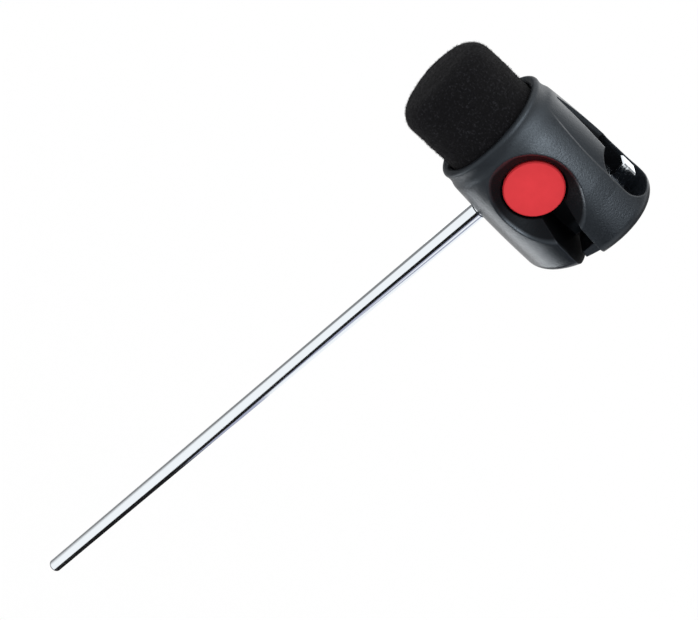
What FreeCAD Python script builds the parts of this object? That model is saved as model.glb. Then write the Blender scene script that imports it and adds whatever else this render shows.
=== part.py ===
import FreeCAD, Part
import math
import os
import Sketcher

# Bass drum beater: felt striker on a moulded clamp head, carried by a steel shaft.
# The origin is the centre of the shaft's free end. The shaft stands along +Z, the felt strikes
# along -X, and the weight in the head lies across, along Y.

# Driving sizes in millimetres; names that end in _angle are in degrees.
SIZE_VALUES = {
    # shaft
    "shaft_diameter": 6.0,
    "shaft_end_chamfer": 0.6,
    "shaft_shoulder_drop": 22.5,
    "spigot_step": 0.3,
    "head_height": 291.0,
    "anchor_groove_depth": 0.4,
    "anchor_groove_width": 1.2,
    "anchor_groove_pitch": 2.6,
    "press_clearance": 0.01,
    # barrel of the head, measured from the crossing of its axis with the shaft axis
    "felt_radius": 16.8,
    "felt_clearance": 0.05,
    "socket_floor_reach": 13.6,
    "lip_reach": 18.6,
    "lip_wall": 3.0,
    "lip_bead_radius": 1.6,
    "lip_blend_radius": 1.0,
    "cove_width": 4.6,
    "cove_radius": 6.0,
    "cove_blend_radius": 4.0,
    "barrel_front_radius": 20.35,
    "barrel_rear_radius": 22.2,
    "barrel_crown_radius": 400.0,
    "rear_stock": 2.6,
    "rear_dome_radius": 48.0,
    "rear_dome_lift": 6.6,
    "rear_edge_radius": 4.0,
    # felt
    "felt_stand_out": 25.2,
    "felt_edge_radius": 7.0,
    "felt_crown_radius": 42.0,
    # weight and its bore
    "weight_offset": 0.6,
    "weight_radius": 9.3,
    "weight_half_length": 15.0,
    "weight_clearance": 0.08,
    "dish_ledge": 0.6,
    "dish_angle": 45.0,
    "moat_depth": 2.2,
    # slot between the jaws, which sinks a little towards the rear
    "jaw_half_gap": 4.5,
    "jaw_rear_roof": 2.3,
    "jaw_rear_floor": 5.4,
    "tongue_depth": 5.7,
    "tongue_half_width": 14.0,
    "tongue_slit": 0.8,
    "pinch_gap": 1.5,
    "pinch_block_clearance": 3.0,
    "pinch_block_half_width": 4.8,
    "pinch_block_corner": 1.5,
    "capsule_wall": 1.2,
    "capsule_face": 1.5,
    "capsule_edge": 0.4,
    "slug_clearance": 0.05,
    "cap_spigot": 2.0,
    # key channel and screw pocket on top of the barrel
    "channel_front_reach": 15.6,
    "channel_front_half_width": 1.0,
    "channel_front_depth": 1.0,
    "channel_rear_half_width": 7.2,
    "channel_rear_depth": 6.0,
    "channel_floor_share": 0.35,
    "pocket_front": 8.7,
    "pocket_rear_run": 7.3,
    "pocket_rear_wall": 5.5,
    "pocket_near_width": 12.75,
    "pocket_far_width": 8.5,
    "pocket_rear_corner": 7.0,
    "pocket_front_corner": 6.0,
    "pocket_floor": 13.3,
    # clamp screw, washer and nut
    "screw_offset": 20.6,
    "screw_diameter": 5.0,
    "screw_hole_clearance": 0.3,
    "washer_diameter": 11.0,
    "washer_thickness": 1.0,
    "washer_clearance": 0.25,
    "flange_diameter": 9.5,
    "flange_thickness": 1.4,
    "key_square": 5.9,
    "key_height": 5.8,
    "key_corner_radius": 0.5,
    "key_top_chamfer": 0.5,
    "screw_tip_chamfer": 0.6,
    "screw_tip_stand_out": 2.0,
    "nut_flats": 8.0,
    "nut_thickness": 4.0,
    "nut_bevel_run": 1.0,
    "nut_bevel_rise": 0.75,
    "nut_pocket_clearance": 0.1,
    "nut_cover": 5.5,
    "thread_clearance": 0.05,
    "nut_recess_radius": 6.5,
    "nut_recess_depth": 4.0,
    # shaft socket under the weight bore
    "socket_roof_wall": 2.4,
}

ANCHOR_GROOVE_COUNT = 3
HEXAGON_HALF_ANGLE = 30.0

# How near two places must be to count as the same, in millimetres: exact, and with a loose box
TOUCH = 0.01
ROUGH = 0.5


class Size:
    """A length held both as a number and as the sheet expression that gives it."""

    def __init__(self, number, text):
        self.number = number
        self.text = text

    def __add__(self, other):
        other = as_size(other)
        return Size(self.number + other.number, f"({self.text} + {other.text})")

    def __sub__(self, other):
        other = as_size(other)
        return Size(self.number - other.number, f"({self.text} - {other.text})")

    def __mul__(self, other):
        other = as_size(other)
        return Size(self.number * other.number, f"({self.text} * {other.text})")

    def __truediv__(self, other):
        other = as_size(other)
        return Size(self.number / other.number, f"({self.text} / {other.text})")

    def __neg__(self):
        return Size(-self.number, f"(0 - {self.text})")


def as_size(value):
    """Take a Size as it is, or a plain number as a constant one."""
    if isinstance(value, Size):
        return value
    return Size(float(value), str(float(value)))


def sine(angle):
    return Size(math.sin(math.radians(angle.number)), f"sin({angle.text} * 1 deg)")


def cosine(angle):
    return Size(math.cos(math.radians(angle.number)), f"cos({angle.text} * 1 deg)")


def tangent(angle):
    return Size(math.tan(math.radians(angle.number)), f"tan({angle.text} * 1 deg)")


def square_root(value):
    return Size(math.sqrt(value.number), f"sqrt({value.text})")


def crown_height(radius, half_chord):
    """How far a crown of this radius rises over this half chord."""
    return radius - square_root(radius * radius - half_chord * half_chord)


doc = FreeCAD.newDocument("bass_drum_beater")
sheet = doc.addObject("Spreadsheet::Sheet", "sizes")


def fill_sheet():
    """Put every driving size in the sheet under its own alias."""
    for row, (name, number) in enumerate(SIZE_VALUES.items(), start=1):
        sheet.set(f"A{row}", name)
        sheet.set(f"B{row}", str(number))
        sheet.setAlias(f"B{row}", name)
    doc.recompute()


def size(name):
    return Size(SIZE_VALUES[name], f"sizes.{name}")


def bind(item, path, value):
    """Tie a property of an object to a size."""
    item.setExpression(path, as_size(value).text)


def new_body(label, height=None):
    """Start a piece, lifted along the shaft when its sizes are taken from the head's centre."""
    body = doc.addObject("PartDesign::Body", label)
    body.Label = label
    if height is not None:
        bind(body, "Placement.Base.z", height)
    return body


def sketch_on(body, name, role, offset=None):
    """Start a sketch on one of the piece's own origin planes, moved along the plane's normal."""
    plane = next(item for item in body.Origin.OriginFeatures if item.Role == role)
    sketch = body.newObject("Sketcher::SketchObject", name)
    sketch.AttachmentSupport = [(plane, "")]
    sketch.MapMode = "FlatFace"
    if offset is not None:
        bind(sketch, "AttachmentOffset.Base.z", offset)
    return sketch


def arc_between(start, end, radius, side):
    """Arc under a half circle from start to end; side +1 bulges to the left of the way, -1 right."""
    chord = end - start
    half = chord.Length / 2
    rise = math.sqrt(max(radius * radius - half * half, 0.0))
    left = FreeCAD.Vector(-chord.y, chord.x, 0).normalize()
    centre = (start + end) * 0.5 - left * (rise * side)
    circle = Part.Circle(centre, FreeCAD.Vector(0, 0, 1), radius)
    first, last = (end, start) if side > 0 else (start, end)
    first_angle = math.atan2(first.y - centre.y, first.x - centre.x)
    last_angle = math.atan2(last.y - centre.y, last.x - centre.x)
    if last_angle < first_angle:
        last_angle += 2 * math.pi
    return Part.ArcOfCircle(circle, first_angle, last_angle)


def draw_loop(sketch, corners, arcs=None):
    """Draw a closed loop of lines through the corners, with arcs where arcs gives radius and side."""
    arcs = arcs or {}
    count = len(corners)
    base = sketch.GeometryCount
    points = [FreeCAD.Vector(as_size(x).number, as_size(y).number, 0) for x, y in corners]
    start_end = []
    for index in range(count):
        start = points[index]
        end = points[(index + 1) % count]
        if index in arcs:
            radius, side = arcs[index]
            sketch.addGeometry(arc_between(start, end, as_size(radius).number, side))
            start_end.append((2, 1) if side > 0 else (1, 2))
        else:
            sketch.addGeometry(Part.LineSegment(start, end))
            start_end.append((1, 2))
    for index in range(count):
        after = (index + 1) % count
        joint = (base + index, start_end[index][1], base + after, start_end[after][0])
        sketch.addConstraint(Sketcher.Constraint("Coincident", *joint))
    for index, (across, up) in enumerate(corners):
        place = (-1, 1, base + index, start_end[index][0])
        tie(sketch, "DistanceX", place, across, f"across_{base + index}")
        tie(sketch, "DistanceY", place, up, f"up_{base + index}")
    for index, (radius, side) in arcs.items():
        tie(sketch, "Radius", (base + index,), radius, f"radius_{base + index}")


def tie(sketch, kind, place, value, name):
    """Add a dimension to a sketch and bind it to a size."""
    value = as_size(value)
    number = sketch.addConstraint(Sketcher.Constraint(kind, *place, value.number))
    sketch.renameConstraint(number, name)
    bind(sketch, f"Constraints.{name}", value)


def draw_circle(sketch, across, up, radius):
    """Draw a circle with its centre and radius bound to sizes."""
    base = sketch.GeometryCount
    centre = FreeCAD.Vector(as_size(across).number, as_size(up).number, 0)
    sketch.addGeometry(Part.Circle(centre, FreeCAD.Vector(0, 0, 1), as_size(radius).number))
    tie(sketch, "DistanceX", (-1, 1, base, 3), across, f"across_{base}")
    tie(sketch, "DistanceY", (-1, 1, base, 3), up, f"up_{base}")
    tie(sketch, "Radius", (base,), radius, f"radius_{base}")


def from_sketch(body, kind, name, sketch):
    """Start a feature on a sketch; its faces stay unmerged, which the cuts across the domed end need."""
    feature = body.newObject(kind, name)
    feature.Profile = sketch
    feature.Refine = False
    return feature


def turned(body, kind, name, sketch, axis):
    """Revolve a sketch all round one of its own axes."""
    feature = from_sketch(body, kind, name, sketch)
    feature.ReferenceAxis = (sketch, [axis])
    feature.Angle = 360.0
    return finished(body, feature)


def pad(body, name, sketch, length):
    feature = from_sketch(body, "PartDesign::Pad", name, sketch)
    bind(feature, "Length", length)
    return finished(body, feature)


def cut_through(body, name, sketch, way):
    """Cut a sketch through the piece: along its normal, against it, or both ways."""
    feature = from_sketch(body, "PartDesign::Pocket", name, sketch)
    feature.Type = "ThroughAll"
    if way == "both":
        feature.Midplane = True
    else:
        feature.Reversed = way == "along"
    return finished(body, feature)


def finished(body, feature):
    """Recompute one feature and make sure that a cut took material away."""
    before = feature.BaseFeature.Shape.Volume if feature.BaseFeature else 0.0
    doc.recompute()
    cuts = feature.TypeId in ("PartDesign::Pocket", "PartDesign::Groove", "PartDesign::SubtractiveLoft")
    if cuts and not feature.Shape.Volume < before:
        raise RuntimeError(f"{feature.Name} cut nothing from {body.Label}")
    return feature


def edges_where(feature, test):
    """Names of the feature's edges for which the test holds."""
    return [f"Edge{number}" for number, edge in enumerate(feature.Shape.Edges, start=1) if test(edge)]


def dressed(body, kind, name, feature, edges, path, value):
    """Round or bevel chosen edges of the feature before it."""
    dressing = body.newObject(kind, name)
    dressing.Base = (feature, edges)
    bind(dressing, path, value)
    return finished(body, dressing)


fill_sheet()

# Sizes that follow from the driving ones
shaft_radius = size("shaft_diameter") / 2
spigot_radius = shaft_radius - size("spigot_step")
head_height = size("head_height")
socket_radius = size("felt_radius") + size("felt_clearance")
lip_outer_radius = socket_radius + size("lip_wall")
bore_radius = size("weight_radius") + size("weight_clearance")
dish_radius = bore_radius + size("dish_ledge")
shaft_top = -(bore_radius + size("socket_roof_wall"))
clear_of_barrel = size("barrel_rear_radius") + size("rear_edge_radius")
washer_top = size("pocket_floor") + size("washer_thickness")
flange_top = washer_top + size("flange_thickness")
screw_radius = size("screw_diameter") / 2
nut_under = size("nut_cover") - size("barrel_rear_radius")
nut_seat = nut_under + size("nut_thickness")
# The rear end stands behind the pocket, which is placed from the screw
pocket_rear = size("screw_offset") + size("pocket_rear_run")
rear_apex = pocket_rear + size("pocket_rear_wall")
barrel_rear = rear_apex + size("rear_stock")
past_rear = rear_apex + size("rear_edge_radius")
tongue_reach = rear_apex - size("tongue_depth")
jaw_half_gap = size("jaw_half_gap")
roof_fall = (jaw_half_gap - size("jaw_rear_roof")) / rear_apex
floor_fall = (size("jaw_rear_floor") - jaw_half_gap) / rear_apex


def gap_roof(reach):
    """Height of the upper jaw's underside at a reach behind the shaft axis."""
    return jaw_half_gap - roof_fall * reach


def gap_floor(reach):
    """Height of the lower jaw's top at a reach behind the shaft axis."""
    return -(jaw_half_gap + floor_fall * reach)


def make_shaft():
    """Plated rod with a bevelled free end and a grooved spigot that is fixed in the head."""
    body = new_body("shaft")
    top = head_height + shaft_top
    shoulder = head_height - size("shaft_shoulder_drop")
    bevel = size("shaft_end_chamfer")
    outline = sketch_on(body, "shaft_outline", "XZ_Plane")
    draw_loop(outline, [
        (0, 0),
        (shaft_radius - bevel, 0),
        (shaft_radius, bevel),
        (shaft_radius, shoulder),
        (spigot_radius, shoulder + size("spigot_step")),
        (spigot_radius, top),
        (0, top),
    ])
    turned(body, "PartDesign::Revolution", "shaft_rod", outline, "V_Axis")
    groove = sketch_on(body, "anchor_outline", "XZ_Plane")
    groove_floor = spigot_radius - size("anchor_groove_depth")
    groove_top = top - size("anchor_groove_width")
    groove_foot = groove_top - size("anchor_groove_width")
    draw_loop(groove, [
        (groove_floor, groove_foot),
        (shaft_radius, groove_foot),
        (shaft_radius, groove_top),
        (groove_floor, groove_top),
    ])
    ring = turned(body, "PartDesign::Groove", "anchor_groove", groove, "V_Axis")
    rings = body.newObject("PartDesign::LinearPattern", "anchor_grooves")
    rings.Originals = [ring]
    rings.Direction = (groove, ["V_Axis"])
    rings.Reversed = True
    rings.Occurrences = ANCHOR_GROOVE_COUNT
    bind(rings, "Length", size("anchor_groove_pitch") * (ANCHOR_GROOVE_COUNT - 1))
    body.Tip = rings
    doc.recompute()
    return body


def barrel_profile():
    """Corners and arcs of the turned barrel, from the felt socket round the lip to past the rear end."""
    lip = -size("lip_reach")
    floor = -size("socket_floor_reach")
    corners = [
        (floor, 0),
        (floor, socket_radius),
        (lip, socket_radius),
        (lip, lip_outer_radius),
        (lip + size("cove_width"), size("barrel_front_radius")),
        (barrel_rear, size("barrel_rear_radius")),
        (barrel_rear, 0),
    ]
    arcs = {
        2: (size("lip_bead_radius"), 1),
        3: (size("cove_radius"), -1),
        4: (size("barrel_crown_radius"), 1),
    }
    return corners, arcs


def blend_lip(body, barrel):
    """Blend the lip's bead into the cove and the cove into the barrel."""
    lip = -size("lip_reach")
    bead = edges_where(barrel, lambda edge: is_ring(edge, lip.number, lip_outer_radius.number))
    softened = dressed(
        body, "PartDesign::Fillet", "lip_blend", barrel, bead, "Radius", size("lip_blend_radius"))
    cove_end = lip + size("cove_width")
    crest_radius = size("barrel_front_radius")
    crest = edges_where(softened, lambda edge: is_ring(edge, cove_end.number, crest_radius.number))
    dressed(body, "PartDesign::Fillet", "cove_blend", softened, crest, "Radius", size("cove_blend_radius"))


def is_ring(edge, reach, radius):
    """True for a circle about the barrel's axis at the given reach and radius."""
    box = edge.BoundBox
    flat = abs(box.XMin - reach) < TOUCH and abs(box.XMax - reach) < TOUCH
    return flat and abs(box.ZMax - radius) < ROUGH


def cut_rear_dome(body):
    """Shape the rear end as a dome whose centre lies above the barrel's axis, and round its edge."""
    outline = sketch_on(body, "rear_dome_outline", "XZ_Plane")
    bind(outline, "AttachmentOffset.Base.y", size("rear_dome_lift"))
    rim = clear_of_barrel + size("rear_dome_lift")
    rim_reach = rear_apex - crown_height(size("rear_dome_radius"), rim)
    past_stock = barrel_rear + size("rear_edge_radius")
    draw_loop(outline, [
        (rear_apex, 0),
        (rim_reach, rim),
        (past_stock, rim),
        (past_stock, 0),
    ], {0: (size("rear_dome_radius"), -1)})
    dome = turned(body, "PartDesign::Groove", "rear_dome", outline, "H_Axis")
    brim = edges_where(dome, lambda edge: is_brim(edge, size("screw_offset").number))
    dressed(body, "PartDesign::Fillet", "rear_edge", dome, brim, "Radius", size("rear_edge_radius"))


def is_brim(edge, reach):
    """True for an edge that lies wholly behind the given reach and isn't the dome's pole."""
    return edge.BoundBox.XMin > reach and edge.Length > ROUGH


def cut_weight_bore(body):
    """Bore the head across for the weight."""
    bore = sketch_on(body, "bore_outline", "XZ_Plane")
    draw_circle(bore, size("weight_offset"), 0, bore_radius)
    cut_through(body, "weight_bore", bore, "both")


def cut_dishes(body):
    """Dish both mouths of the bore down to a narrow moat round the ends of the weight."""
    end = size("weight_half_length")
    moat = end - size("moat_depth")
    mouth = dish_radius + (clear_of_barrel - end) * tangent(size("dish_angle"))
    dishes = sketch_on(body, "dish_outline", "XY_Plane")
    bind(dishes, "AttachmentOffset.Base.x", size("weight_offset"))
    for side in (1, -1):
        draw_loop(dishes, [
            (0, moat * side),
            (dish_radius, moat * side),
            (dish_radius, end * side),
            (mouth, clear_of_barrel * side),
            (0, clear_of_barrel * side),
        ])
    turned(body, "PartDesign::Groove", "dishes", dishes, "V_Axis")


def cut_jaws(body):
    """Split the head from the bore to the rear end, but for a tongue under the upper jaw at the rear."""
    slit = size("tongue_slit")
    gap = sketch_on(body, "jaw_gap_outline", "XZ_Plane")
    draw_loop(gap, [
        (0, -jaw_half_gap),
        (past_rear, gap_floor(past_rear)),
        (past_rear, gap_floor(past_rear) + slit),
        (tongue_reach, gap_floor(tongue_reach) + slit),
        (tongue_reach, gap_roof(tongue_reach)),
        (0, jaw_half_gap),
    ])
    cut_through(body, "jaw_gap_cut", gap, "both")
    start = tongue_reach - slit
    for side, way in ((1, "along"), (-1, "against")):
        beside = sketch_on(body, f"beside_tongue_{way}", "XZ_Plane", size("tongue_half_width") * side)
        draw_loop(beside, [
            (start, gap_floor(start)),
            (past_rear, gap_floor(past_rear)),
            (past_rear, gap_roof(past_rear)),
            (start, gap_roof(start)),
        ])
        cut_through(body, f"tongue_side_{way}", beside, way)


def add_pinch_block(body):
    """Raise a block on the lower jaw round the screw, up to a narrow gap under the upper jaw."""
    front = bore_radius + size("pinch_block_clearance")
    rear = tongue_reach - size("pinch_gap")
    half = size("pinch_block_half_width")
    turn = size("pinch_block_corner")
    root = gap_floor(rear) - size("pinch_gap")
    outline = sketch_on(body, "pinch_block_outline", "XY_Plane", root)
    draw_loop(outline, [
        (front + turn, -half),
        (rear, -half),
        (rear, half),
        (front + turn, half),
        (front, half - turn),
        (front, -half + turn),
    ], {3: (turn, -1), 5: (turn, -1)})
    pad(body, "pinch_block", outline, gap_roof(rear) - size("pinch_gap") - root)


def channel_section(body, name, reach, half_width, depth):
    """One cross-section of the key channel: sloping walls that go on above the barrel."""
    crown = size("barrel_rear_radius")
    section = sketch_on(body, name, "YZ_Plane", reach)
    floor_half_width = half_width * size("channel_floor_share")
    slope = (half_width - floor_half_width) / depth
    mouth = half_width + slope * size("rear_edge_radius")
    draw_loop(section, [
        (-floor_half_width, crown - depth),
        (floor_half_width, crown - depth),
        (mouth, crown + size("rear_edge_radius")),
        (-mouth, crown + size("rear_edge_radius")),
    ])
    return section


def cut_key_channel(body):
    """Cut the channel that flares and deepens from behind the lip to the screw pocket."""
    front = channel_section(
        body, "channel_front", -size("channel_front_reach"),
        size("channel_front_half_width"), size("channel_front_depth"))
    rear = channel_section(
        body, "channel_rear", size("pocket_front") + size("pocket_front_corner"),
        size("channel_rear_half_width"), size("channel_rear_depth"))
    channel = from_sketch(body, "PartDesign::SubtractiveLoft", "key_channel", front)
    channel.Sections = [rear]
    channel.Ruled = True
    finished(body, channel)


def cut_screw_pocket(body):
    """Cut the pocket for the screw head down to a flat floor; it opens wider to the near side."""
    front = size("pocket_front")
    near = -size("pocket_near_width")
    far = size("pocket_far_width")
    round_rear = size("pocket_rear_corner")
    round_front = size("pocket_front_corner")
    outline = sketch_on(body, "pocket_outline", "XY_Plane", size("pocket_floor"))
    draw_loop(outline, [
        (front + round_front, near),
        (pocket_rear - round_rear, near),
        (pocket_rear, near + round_rear),
        (pocket_rear, far - round_rear),
        (pocket_rear - round_rear, far),
        (front + round_front, far),
        (front, far - round_front),
        (front, near + round_front),
    ], {1: (round_rear, -1), 3: (round_rear, -1), 5: (round_front, -1), 7: (round_front, -1)})
    cut_through(body, "screw_pocket", outline, "along")


def cut_screw_holes(body):
    """Drill both jaws for the screw and sink the nut into the lower one."""
    offset = size("screw_offset")
    hole = sketch_on(body, "screw_hole_outline", "XY_Plane")
    draw_circle(hole, offset, 0, screw_radius + size("screw_hole_clearance"))
    cut_through(body, "screw_hole", hole, "both")
    nut = sketch_on(body, "nut_pocket_outline", "XY_Plane", nut_seat)
    draw_hexagon(nut, offset, size("nut_flats") / 2 + size("nut_pocket_clearance"))
    cut_through(body, "nut_pocket", nut, "against")
    recess_roof = size("nut_recess_depth") - size("barrel_rear_radius")
    recess = sketch_on(body, "nut_recess_outline", "XY_Plane", recess_roof)
    draw_circle(recess, offset, 0, size("nut_recess_radius"))
    cut_through(body, "nut_recess", recess, "against")


def draw_hexagon(sketch, across, half_flats):
    """Draw a hexagon with two flats square to the across direction."""
    half_side = half_flats * tangent(as_size(HEXAGON_HALF_ANGLE))
    draw_loop(sketch, [
        (across - half_flats, -half_side),
        (across, -half_side * 2),
        (across + half_flats, -half_side),
        (across + half_flats, half_side),
        (across, half_side * 2),
        (across - half_flats, half_side),
    ])


def make_head_body():
    """Moulded head: turned barrel with its domed rear, cross bore, jaws, channel, pockets and sockets."""
    body = new_body("head_body", head_height)
    outline = sketch_on(body, "barrel_outline", "XZ_Plane")
    corners, arcs = barrel_profile()
    draw_loop(outline, corners, arcs)
    barrel = turned(body, "PartDesign::Revolution", "barrel", outline, "H_Axis")
    blend_lip(body, barrel)
    cut_rear_dome(body)
    cut_key_channel(body)
    cut_screw_pocket(body)
    cut_weight_bore(body)
    cut_jaws(body)
    cut_dishes(body)
    add_pinch_block(body)
    cut_screw_holes(body)
    socket = sketch_on(body, "shaft_socket_outline", "XY_Plane", shaft_top)
    draw_circle(socket, 0, 0, spigot_radius + size("press_clearance"))
    cut_through(body, "shaft_socket", socket, "against")
    return body


def make_felt_striker():
    """Felt plug: straight sides, a well rounded edge and a crowned striking face."""
    body = new_body("felt_striker", head_height)
    radius = size("felt_radius")
    edge = size("felt_edge_radius")
    front = size("lip_reach") + size("felt_stand_out")
    face_radius = radius - edge
    edge_front = front - crown_height(size("felt_crown_radius"), face_radius)
    outline = sketch_on(body, "felt_outline", "XZ_Plane")
    draw_loop(outline, [
        (-size("socket_floor_reach"), 0),
        (-front, 0),
        (-edge_front, face_radius),
        (-edge_front + edge, radius),
        (-size("socket_floor_reach"), radius),
    ], {1: (size("felt_crown_radius"), 1), 2: (edge, 1)})
    turned(body, "PartDesign::Revolution", "felt_plug", outline, "H_Axis")
    return body


def make_weight_capsule():
    """Red cup: closed flat end towards the viewer's side, open at the far end."""
    body = new_body("weight_capsule", head_height)
    bind(body, "Placement.Base.x", size("weight_offset"))
    half = size("weight_half_length")
    radius = size("weight_radius")
    inside = radius - size("capsule_wall")
    edge = size("capsule_edge")
    floor = -half + size("capsule_face")
    open_end = half - size("capsule_face")
    outline = sketch_on(body, "capsule_outline", "XY_Plane")
    draw_loop(outline, [
        (0, -half),
        (radius - edge, -half),
        (radius, -half + edge),
        (radius, open_end),
        (inside, open_end),
        (inside, floor),
        (0, floor),
    ])
    turned(body, "PartDesign::Revolution", "capsule_cup", outline, "V_Axis")
    return body


def make_weight_slug():
    """Steel core that fills the capsule up to the cap's spigot."""
    body = new_body("weight_slug", head_height)
    bind(body, "Placement.Base.x", size("weight_offset"))
    floor = -size("weight_half_length") + size("capsule_face")
    top = size("weight_half_length") - size("capsule_face") - size("cap_spigot")
    radius = size("weight_radius") - size("capsule_wall") - size("slug_clearance")
    edge = size("capsule_edge")
    outline = sketch_on(body, "slug_outline", "XY_Plane")
    draw_loop(outline, [
        (0, floor),
        (radius - edge, floor),
        (radius, floor + edge),
        (radius, top - edge),
        (radius - edge, top),
        (0, top),
    ])
    turned(body, "PartDesign::Revolution", "slug_core", outline, "V_Axis")
    return body


def make_weight_cap():
    """Red lid with a spigot that plugs the capsule's open end."""
    body = new_body("weight_cap", head_height)
    bind(body, "Placement.Base.x", size("weight_offset"))
    half = size("weight_half_length")
    radius = size("weight_radius")
    edge = size("capsule_edge")
    seat = half - size("capsule_face")
    spigot = radius - size("capsule_wall") - size("slug_clearance")
    outline = sketch_on(body, "cap_outline", "XY_Plane")
    draw_loop(outline, [
        (0, seat - size("cap_spigot")),
        (spigot, seat - size("cap_spigot")),
        (spigot, seat),
        (radius, seat),
        (radius, half - edge),
        (radius - edge, half),
        (0, half),
    ])
    turned(body, "PartDesign::Revolution", "cap_lid", outline, "V_Axis")
    return body


def make_clamp_screw():
    """Key screw: square head with rounded corners, round flange and a shank down to the nut."""
    body = new_body("clamp_screw", head_height)
    bind(body, "Placement.Base.x", size("screw_offset"))
    tip = nut_under - size("screw_tip_stand_out")
    bevel = size("screw_tip_chamfer")
    flange_radius = size("flange_diameter") / 2
    outline = sketch_on(body, "screw_outline", "XZ_Plane")
    draw_loop(outline, [
        (0, tip),
        (screw_radius - bevel, tip),
        (screw_radius, tip + bevel),
        (screw_radius, washer_top),
        (flange_radius, washer_top),
        (flange_radius, flange_top),
        (0, flange_top),
    ])
    turned(body, "PartDesign::Revolution", "screw_shank", outline, "V_Axis")
    half = size("key_square") / 2
    square = sketch_on(body, "key_outline", "XY_Plane", flange_top)
    draw_loop(square, [(-half, -half), (half, -half), (half, half), (-half, half)])
    head = pad(body, "key_head", square, size("key_height"))
    upright = edges_where(head, lambda edge: stands_upright(edge, flange_top.number))
    rounded = dressed(
        body, "PartDesign::Fillet", "key_corners", head, upright, "Radius", size("key_corner_radius"))
    top = flange_top + size("key_height")
    rim = edges_where(rounded, lambda edge: lies_at(edge, top.number))
    dressed(body, "PartDesign::Chamfer", "key_top_bevel", rounded, rim, "Size", size("key_top_chamfer"))
    return body


def stands_upright(edge, foot):
    """True for an edge that runs along Z above the given level."""
    box = edge.BoundBox
    return box.ZMin > foot - TOUCH and box.XLength < TOUCH and box.YLength < TOUCH


def lies_at(edge, level):
    """True for an edge that lies flat at the given level."""
    box = edge.BoundBox
    return abs(box.ZMin - level) < TOUCH and abs(box.ZMax - level) < TOUCH


def make_clamp_washer():
    """Flat washer on the pocket floor."""
    body = new_body("clamp_washer", head_height)
    bind(body, "Placement.Base.x", size("screw_offset"))
    outline = sketch_on(body, "washer_outline", "XY_Plane", size("pocket_floor"))
    draw_circle(outline, 0, 0, size("washer_diameter") / 2)
    draw_circle(outline, 0, 0, screw_radius + size("washer_clearance"))
    pad(body, "washer_ring", outline, size("washer_thickness"))
    return body


def make_clamp_nut():
    """Hexagon nut with bevelled corners, seated against the roof of its pocket."""
    body = new_body("clamp_nut", head_height)
    bind(body, "Placement.Base.x", size("screw_offset"))
    outline = sketch_on(body, "nut_outline", "XY_Plane", nut_under)
    draw_hexagon(outline, as_size(0), size("nut_flats") / 2)
    draw_circle(outline, 0, 0, screw_radius + size("thread_clearance"))
    pad(body, "nut_block", outline, size("nut_thickness"))
    corner = size("nut_flats") / 2 / cosine(as_size(HEXAGON_HALF_ANGLE))
    run = size("nut_bevel_run")
    bevels = sketch_on(body, "nut_bevel_outline", "XZ_Plane")
    draw_loop(bevels, [
        (corner - run, nut_under),
        (corner, nut_under),
        (corner, nut_under + size("nut_bevel_rise")),
    ])
    turned(body, "PartDesign::Groove", "nut_bevel", bevels, "V_Axis")
    return body


def check_and_write(pieces):
    """Stop on any failed object or bad solid, then write one file per piece."""
    doc.recompute()
    for item in doc.Objects:
        if "Invalid" in item.State or "Error" in item.State:
            raise RuntimeError(f"{item.Name} failed: {item.State}")
    for piece in pieces:
        shape = piece.Shape
        if shape.isNull() or not shape.isValid() or not shape.Solids:
            raise RuntimeError(f"{piece.Label} has no valid solid")
    os.makedirs("parts", exist_ok=True)
    for piece in pieces:
        piece.Shape.exportStep(f"parts/{piece.Label}.step")
        box = piece.Shape.BoundBox
        print(f"{piece.Label}: {len(piece.Shape.Solids)} solid, {piece.Shape.Volume / 1000:.2f} cm3, "
              f"x {box.XMin:.1f} to {box.XMax:.1f}, y {box.YMin:.1f} to {box.YMax:.1f}, "
              f"z {box.ZMin:.1f} to {box.ZMax:.1f}")


check_and_write([
    make_shaft(),
    make_head_body(),
    make_felt_striker(),
    make_weight_capsule(),
    make_weight_slug(),
    make_weight_cap(),
    make_clamp_screw(),
    make_clamp_washer(),
    make_clamp_nut(),
])
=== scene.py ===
import math

import bmesh
import bpy
from mathutils import Matrix, Vector, noise


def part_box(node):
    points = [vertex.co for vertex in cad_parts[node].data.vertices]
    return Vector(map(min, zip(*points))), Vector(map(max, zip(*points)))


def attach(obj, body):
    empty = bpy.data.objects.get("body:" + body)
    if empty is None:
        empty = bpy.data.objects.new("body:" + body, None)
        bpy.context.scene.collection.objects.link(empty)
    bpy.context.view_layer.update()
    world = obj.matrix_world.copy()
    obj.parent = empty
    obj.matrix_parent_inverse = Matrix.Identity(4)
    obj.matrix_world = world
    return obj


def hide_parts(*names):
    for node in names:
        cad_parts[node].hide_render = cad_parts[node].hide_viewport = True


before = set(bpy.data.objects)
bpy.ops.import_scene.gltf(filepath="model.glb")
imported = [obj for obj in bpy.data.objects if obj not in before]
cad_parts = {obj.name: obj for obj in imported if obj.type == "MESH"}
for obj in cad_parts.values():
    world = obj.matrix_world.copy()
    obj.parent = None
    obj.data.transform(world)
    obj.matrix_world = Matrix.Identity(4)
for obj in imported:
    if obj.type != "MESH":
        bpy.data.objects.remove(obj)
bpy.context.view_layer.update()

bl_info = {
    "name": "Bass Drum Beater",
    "version": (1, 0, 0),
    "blender": (4, 5, 0),
    "location": "View3D > Sidebar > Beater",
    "description": "Dresses the beater with felt, plated steel, moulded plastic and a studio stage",
    "category": "Object",
}


# Measures from the frame, in metres

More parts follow.
